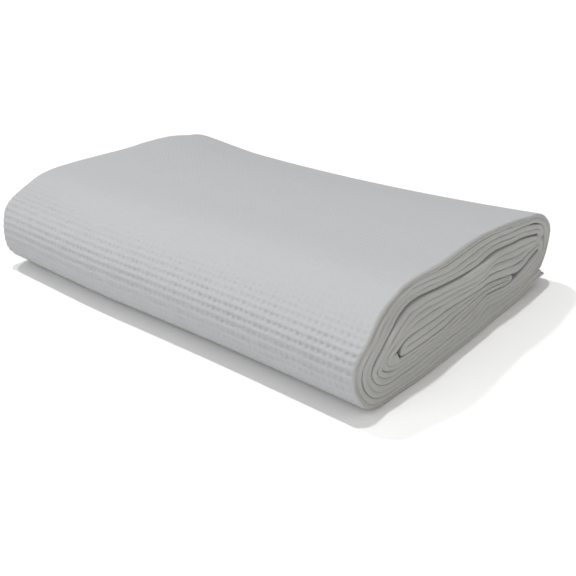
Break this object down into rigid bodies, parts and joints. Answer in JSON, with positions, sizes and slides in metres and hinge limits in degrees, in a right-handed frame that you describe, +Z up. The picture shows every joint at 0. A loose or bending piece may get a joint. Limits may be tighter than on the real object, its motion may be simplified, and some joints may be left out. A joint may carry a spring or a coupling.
{
  "type": "folded bath towel",
  "caption": "Waffle-weave cotton bath towel, doubled and folded flat into a bundle with its layers nested at both ends.",
  "frame": {"origin": "centre of the bundle's bounding box, at its underside", "axes": "+X along the folds, -Y towards the main front fold, +Z up"},
  "size_m": [0.3526, 0.2628, 0.0739],
  "materials": {
    "waffle_cotton": "soft matte waffle weave"
  },
  "bodies": {
    "root": {"towel": "waffle_cotton"}
  },
  "joints": []
}
